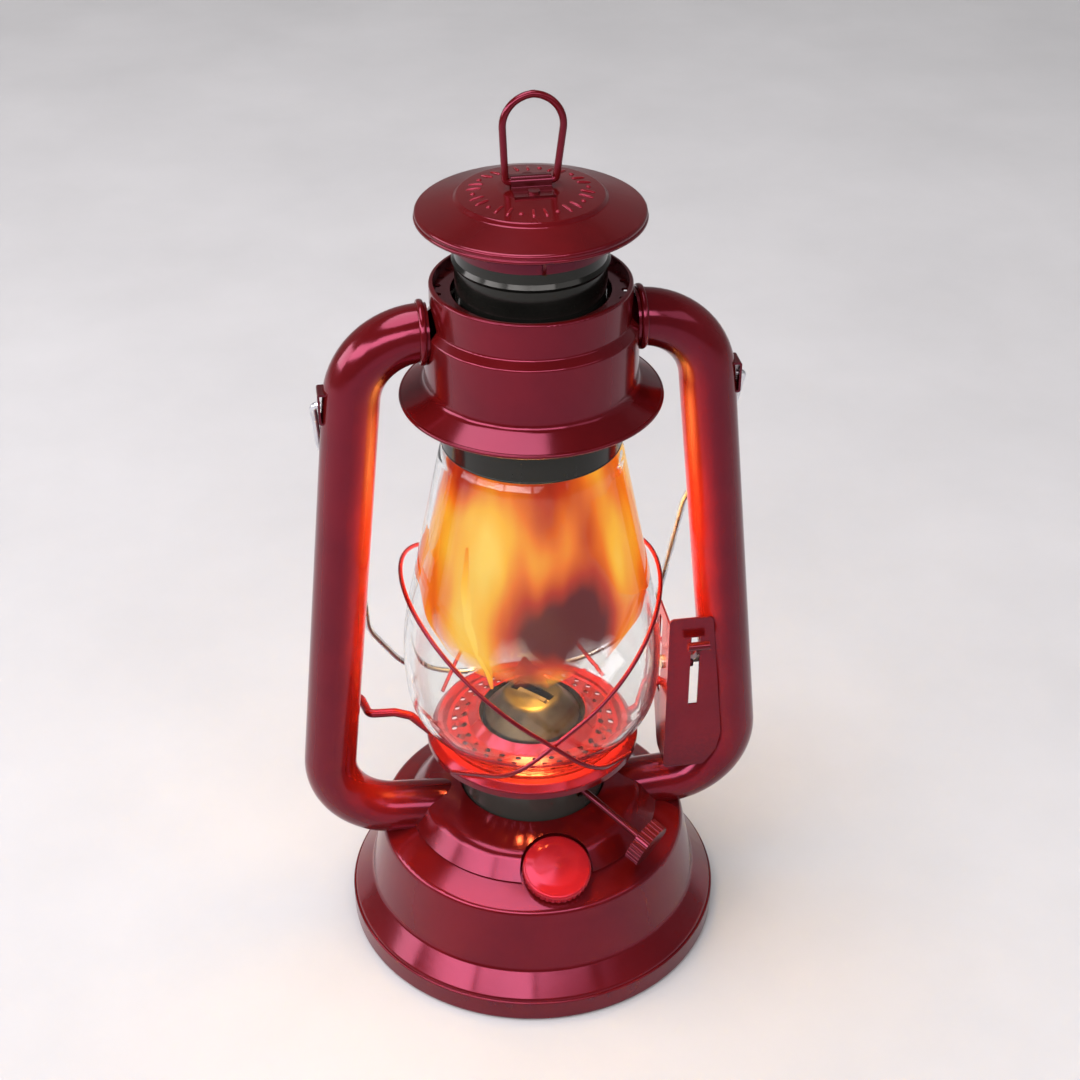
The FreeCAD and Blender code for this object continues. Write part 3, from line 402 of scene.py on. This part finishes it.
def raised_marks():
    """A ring of plain ribs and dots pressed up from the cap's disc: two ribs, then a dot."""
    cap_low, cap_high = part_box("top_cap")
    flat_radius, fall = 8.5 * MM, 1.6 / 10.5
    count = 30
    rib, dot = (12.4, 16.6, 0.45), (14.2, 15.6, 0.7)

    def surface(radius):
        return cap_high.z - max(0.0, radius - flat_radius) * fall

    mesh_data = bmesh.new()
    for k in range(count):
        inner, outer, half = dot if k % 3 == 0 else rib
        add_pad(mesh_data, inner * MM, outer * MM, half * MM, 2 * math.pi * k / count, surface)
    bmesh.ops.recalc_face_normals(mesh_data, faces=mesh_data.faces[:])
    # the ribs and dots take the brighter enamel copy, a painted highlight on the raised marks
    finish_piece("cap_raised_marks", mesh_data, RAISED_MARKS_PAINTED_HIGHLIGHT, "chimney")


def add_pad(mesh_data, inner, outer, half, turn, surface):
    """A low rounded pad that lies along a radius of the cap, from inner to outer."""
    rings = []
    outline_points = 20
    middle, reach = (inner + outer) / 2, (outer - inner) / 2
    # share of the pad's outline, and its height above the cap in millimetres
    profile = ((1.0, -0.25), (0.96, 0.05), (0.78, 0.26), (0.42, 0.36), (0.1, 0.38))
    for share, rise in profile:
        ring = []
        for j in range(outline_points):
            angle = 2 * math.pi * j / outline_points
            along = middle + max(reach - half, 0) * (1 if math.cos(angle) > 0 else -1) * share
            along += half * share * math.cos(angle)
            across = half * share * math.sin(angle)
            x = along * math.cos(turn) - across * math.sin(turn)
            y = along * math.sin(turn) + across * math.cos(turn)
            ring.append(mesh_data.verts.new((x, y, surface(math.hypot(x, y)) + rise * MM)))
        rings.append(ring)
    rings_to_faces(mesh_data, rings, closed_ends=True)


SPRING_RADIUS = 22.6 * MM
SPRING_WIRE = 0.45 * MM
SPRING_TURNS = 3.0
LOWER_SPRING = 9.6 * MM


def spring_part(name, low, high, turns, start, body):
    """A stretch of the chimney's coil spring, from one height to another."""
    mesh_data = bmesh.new()
    steps, across = int(turns * 64), 10
    rings = []
    for i in range(steps + 1):
        share = i / steps
        turn = start + 2 * math.pi * turns * share
        outward = Vector((math.cos(turn), math.sin(turn), 0))
        centre = outward * SPRING_RADIUS + Vector((0, 0, low + (high - low) * share))
        rings.append([
            mesh_data.verts.new(centre + SPRING_WIRE * (
                outward * math.cos(2 * math.pi * j / across)
                + Vector((0, 0, 1)) * math.sin(2 * math.pi * j / across)))
            for j in range(across)])
    rings_to_faces(mesh_data, rings, closed_ends=True)
    bmesh.ops.recalc_face_normals(mesh_data, faces=mesh_data.faces[:])
    return finish_piece(name, mesh_data, STEEL, body)


def chimney_spring():
    """The coil in two lengths: the lower rides on the globe carrier, the upper stays on the frame.
    """
    spring_low, spring_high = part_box("chimney_spring")
    bottom, top = spring_low.z + SPRING_WIRE, spring_high.z - SPRING_WIRE
    middle = bottom + LOWER_SPRING
    lower_turns = SPRING_TURNS * (middle - bottom) / (top - bottom)
    lower = spring_part("chimney_spring_lower", bottom, middle, lower_turns, 0.0, "globe_carrier")
    upper = spring_part("chimney_spring_upper", middle, top, SPRING_TURNS - lower_turns,
                        2 * math.pi * lower_turns, "frame")
    for piece, joint, anchor, length in (
            (lower, "chimney_lift", middle, LOWER_SPRING),
            (upper, "globe_lift", top, top - middle)):
        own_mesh(piece)
        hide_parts("chimney_spring")


# ---------------------------------------------------------------- flame


def flame(name, levels, material, seed, ripple):
    """An open, wavering sheet of fire round a line that rises from the wick.

    Each level is (height, half width, half depth, x, y) in millimetres.
    """
    mesh_data = bmesh.new()
    rings = []
    around, steps = 72, 60
    for i in range(steps + 1):
        share = i / steps
        height, wide, deep, x, y = blend_levels(levels, share)
        ring = []
        for j in range(around):
            turn = 2 * math.pi * j / around
            direction = Vector((math.cos(turn) * 1.4, math.sin(turn) * 1.4, share * 2.2 + seed))
            swell = 1 + ripple * noise.noise(direction) * (0.35 + share)
            fine = 1 + 0.35 * ripple * noise.noise(direction * 3.1)
            ring.append(mesh_data.verts.new((
                x + wide * swell * fine * math.cos(turn),
                y + deep * swell * fine * math.sin(turn),
                height)))
        rings.append(ring)
    rings_to_faces(mesh_data, rings)
    made = finish_piece(name, mesh_data, material, None)
    made.visible_shadow = False
    return made


def blend_levels(levels, share):
    """The flame's level at a share of its rise, in metres."""
    place = share * (len(levels) - 1)
    k = min(int(place), len(levels) - 2)
    t = place - k
    eased = t * t * (3 - 2 * t)
    return [(a + (b - a) * eased) * MM for a, b in zip(levels[k], levels[k + 1])]


def flames():
    """The fire that fills the glass, a thin bright tongue at its left and the wick's own flame."""
    cool_hollow = ((0.005, -0.027, 0.122), 0.026, -0.52)
    cool_shoulder = ((-0.027, -0.012, 0.166), 0.016, -0.50)
    hot_core = ((-0.011, -0.023, 0.147), 0.026, 0.26)
    hot_tongue = ((-0.016, -0.018, 0.110), 0.040, 0.10)
    outer = fire("fire_outer", 1.0, 0.088, 0.128, (cool_hollow, cool_shoulder, hot_core))
    tongue = fire("fire_tongue", 1.05, 0.078, 0.090, (hot_tongue,))
    flame("flame_outer", [
        (84, 5, 4, 0, 0),
        (92, 17, 15, 0, 0),
        (102, 26, 24, 0, 0),
        (113, 31, 29, 0, 0),
        (125, 32, 30.5, 0, 0),
        (138, 30, 29, 0, 0),
        (151, 27, 26.5, 0, 0),
        (164, 23.5, 23.5, 0, 0),
        (177, 20.5, 20.5, 0, 0)], outer, seed=3.1, ripple=0.06)
    flame("flame_tongue", [
        (97, 0.4, 0.4, -14.5, -18.5),
        (104, 1.0, 0.9, -15.5, -20),
        (112, 1.5, 1.3, -18, -22),
        (122, 1.5, 1.3, -20.5, -22),
        (134, 1.2, 1.1, -21.5, -20.5),
        (146, 0.4, 0.4, -20.5, -19)], tongue, seed=1.9, ripple=0.15)
    flame("flame_base", [
        (78.7, 4.6, 1.4, 0, 0),
        (81, 5.4, 2.4, 0, 0),
        (84.5, 4.8, 2.8, -1, 0),
        (88.5, 3.0, 2.0, -1.8, 0),
        (93, 0.5, 0.4, -2.4, 0)], tongue, seed=5.5, ripple=0.12)


# ---------------------------------------------------------------- floor, light and camera


def floor():
    """A round sheet, level under the lantern, that sweeps up into a pale wall on every side."""
    mesh_data = bmesh.new()
    around = 96
    flat, sweep, wall = 2.3, 0.9, 3.4
    path = [(0.4, 0.0), (1.2, 0.0), (flat, 0.0)]
    path += [(flat + sweep * math.sin(a), sweep - sweep * math.cos(a))
             for a in (math.radians(v) for v in range(10, 91, 10))]
    path += [(flat + sweep, wall)]
    rings = []
    for reach, height in path:
        rings.append([
            mesh_data.verts.new((reach * math.cos(turn), reach * math.sin(turn), height))
            for turn in (2 * math.pi * k / around for k in range(around))])
    rings_to_faces(mesh_data, rings)
    mesh_data.faces.new(rings[0])
    bmesh.ops.recalc_face_normals(mesh_data, faces=mesh_data.faces[:])
    return finish_piece("floor_sheet", mesh_data, pale_floor(), None)


def link_lamp(name, data, place, lit):
    """Puts a lamp in the scene, to fall on the collection lit, or on everything if it is None."""
    lamp = bpy.data.objects.new(name, data)
    lamp.location = place
    lamp.light_linking.receiver_collection = lit
    bpy.context.scene.collection.objects.link(lamp)
    return lamp


def area_light(name, place, target, size, power, colour, lit=None, shape="ELLIPSE"):
    """A soft panel that faces a target."""
    data = bpy.data.lights.new(name, "AREA")
    data.shape = shape
    data.size, data.size_y = size
    data.energy = power
    data.color = colour
    lamp = link_lamp(name, data, place, lit)
    lamp.rotation_euler = (Vector(target) - Vector(place)).to_track_quat("-Z", "Y").to_euler()


def fire_light(name, place, radius, power, lit):
    """The fire's glow inside the glass."""
    data = bpy.data.lights.new(name, "POINT")
    data.energy = power
    data.color = (1.0, 0.55, 0.10)
    data.shadow_soft_size = radius
    lamp = link_lamp(name, data, place, lit)
    lamp.visible_camera = False
    lamp.visible_transmission = False


def receivers(name, objects):
    """A collection of the only objects that a light is to fall on."""
    made = bpy.data.collections.new(name)
    for lit in objects:
        made.objects.link(lit)
    return made


def lights(floor_sheet):
    """A panel overhead, a row of panels round the front and left, the fire and a pale world."""
    middle = (0, 0, 0.13)
    soft_white = (1.0, 0.95, 1.0)
    area_light("overhead_panel", (-0.26, 0.08, 1.40), middle, (1.15, 0.95), 17.0, soft_white)
    panel_reach, panel_size = 1.25, (0.80, 0.44)
    # each panel's degrees to the right of the front, its height and its power
    for name, azimuth, height, power in (
            ("front_panel", 10, 1.05, 6.5), ("front_left_panel", -26, 0.98, 9.5),
            ("left_panel", -62, 0.81, 9.5), ("back_left_panel", -98, 0.58, 7.5),
            ("right_panel", 50, 0.95, 1.6)):
        turn = math.radians(azimuth)
        place = (panel_reach * math.sin(turn), -panel_reach * math.cos(turn), height)
        area_light(name, place, middle, panel_size, power, soft_white, shape="RECTANGLE")
    area_light("floor_fill", (0, 0, 3.3), (0, 0, 0), (5.2, 5.2), 62.0, (1, 1, 1),
               lit=receivers("lit_floor", [floor_sheet]))
    lantern = receivers("lit_by_fire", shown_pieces())
    fire_light("fire_light_high", (-0.002, -0.002, 0.138), 0.014, 1.1, lantern)
    fire_light("fire_light_low", (0.0, 0.0, 0.104), 0.008, 0.40, lantern)
    world = bpy.data.worlds.new("studio")
    world.use_nodes = True
    background = world.node_tree.nodes["Background"]
    background.inputs["Color"].default_value = (0.80, 0.82, 0.86, 1)
    background.inputs["Strength"].default_value = 0.15
    bpy.context.scene.world = world
    bpy.context.scene.view_settings.view_transform = "Standard"


def camera():
    """Looks down 33 degrees, from 9 degrees to the left of the lantern's front."""
    data = bpy.data.cameras.new("camera")
    data.sensor_width = 36.0
    data.lens = 62.0
    data.clip_start = 0.01
    made = bpy.data.objects.new("camera", data)
    made.location = (-0.0691, -0.4365, 0.4251)
    azimuth, down, aside = math.radians(-9), math.radians(33.37), math.radians(0.30)
    ahead = Matrix.Rotation(azimuth, 3, "Z") @ Vector((
        math.sin(aside) * math.cos(down), math.cos(aside) * math.cos(down), -math.sin(down)))
    made.rotation_euler = ahead.to_track_quat("-Z", "Y").to_euler()
    bpy.context.scene.collection.objects.link(made)
    bpy.context.scene.camera = made


rolled_edges()
port_collars()
raised_marks()
chimney_spring()
flames()
lights(floor())
camera()
